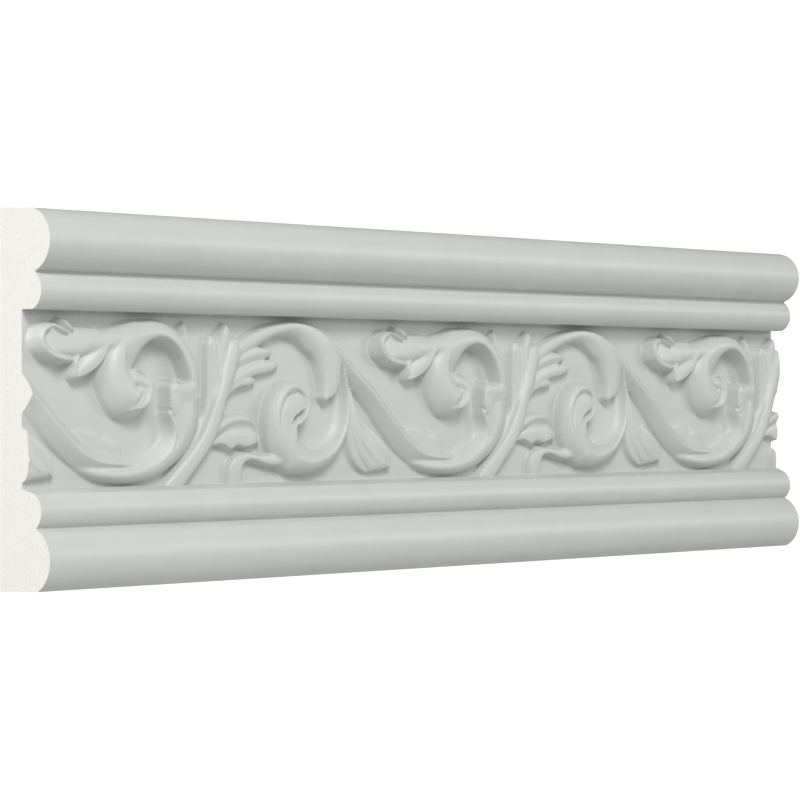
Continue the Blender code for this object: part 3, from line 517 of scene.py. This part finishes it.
def bump(tree, shader, height, strength, distance):
    node = tree.nodes.new("ShaderNodeBump")
    node.inputs["Strength"].default_value = strength
    node.inputs["Distance"].default_value = distance
    tree.links.new(height, node.inputs["Height"])
    tree.links.new(node.outputs["Normal"], shader.inputs["Normal"])


def surface(name, finish):
    """A matt surface whose colour wanders between two shades, with a fine grain in its relief."""
    material = bpy.data.materials.new(name)
    shader = shader_of(material)
    tree = material.node_tree
    place = tree.nodes.new("ShaderNodeTexCoord").outputs["Object"]
    spots = noise(tree, place, finish.spots, SPOT_DETAIL)
    tree.links.new(ramp(tree, spots, finish.shade, finish.colour), shader.inputs["Base Color"])
    shader.inputs["Roughness"].default_value = finish.roughness
    bump(tree, shader, noise(tree, place, finish.grain, GRAIN_DETAIL), finish.strength, finish.distance)
    return material


def soft_box(lamp):
    """A square area light that faces the origin."""
    light = bpy.data.lights.new(lamp.name, "AREA")
    light.shape = "SQUARE"
    light.size = LAMP_SIZE
    light.energy = lamp.power
    holder = bpy.data.objects.new(lamp.name, light)
    turn = Euler((math.radians(90 - lamp.elevation), 0, math.radians(lamp.azimuth)))
    holder.rotation_euler = turn
    holder.location = turn.to_matrix() @ Vector((0, 0, LAMP_DISTANCE))
    bpy.context.scene.collection.objects.link(holder)


def white_world():
    """White behind the object, with much less light coming from it than the camera sees."""
    world = bpy.data.worlds.new("studio")
    world.use_nodes = True
    tree = world.node_tree
    lit = tree.nodes["Background"]
    lit.inputs["Color"].default_value = WHITE
    lit.inputs["Strength"].default_value = AMBIENT
    seen = tree.nodes.new("ShaderNodeBackground")
    seen.inputs["Color"].default_value = WHITE
    seen.inputs["Strength"].default_value = WHITE_SEEN
    choose = tree.nodes.new("ShaderNodeMixShader")
    tree.links.new(tree.nodes.new("ShaderNodeLightPath").outputs["Is Camera Ray"], choose.inputs["Fac"])
    tree.links.new(lit.outputs["Background"], choose.inputs[1])
    tree.links.new(seen.outputs["Background"], choose.inputs[2])
    tree.links.new(choose.outputs["Shader"], tree.nodes["World Output"].inputs["Surface"])
    bpy.context.scene.world = world


def pale_floor():
    bpy.ops.mesh.primitive_plane_add(size=FLOOR_WIDTH, location=(0, 0, -RAIL_HEIGHT))
    floor = bpy.context.object
    floor.name = "floor"
    material = bpy.data.materials.new("floor")
    shader = shader_of(material)
    shader.inputs["Base Color"].default_value = FLOOR_COLOUR
    shader.inputs["Roughness"].default_value = FLOOR_ROUGHNESS
    floor.data.materials.append(material)


def camera():
    lens = bpy.data.cameras.new("camera")
    lens.lens = LENS
    lens.sensor_width = SENSOR
    holder = bpy.data.objects.new("camera", lens)
    holder.location = CAMERA_PLACE
    holder.rotation_euler = (math.radians(90), 0, math.radians(CAMERA_AZIMUTH))
    bpy.context.scene.collection.objects.link(holder)
    bpy.context.scene.camera = holder


moulding = build_moulding(surface("primer_paint", PRIMER), surface("cut_foam", CUT_FOAM))
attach(moulding, "root")
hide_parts("chair_rail_moulding")

camera()
white_world()
pale_floor()
for lamp in LAMPS:
    soft_box(lamp)
bpy.context.scene.view_settings.view_transform = "Standard"
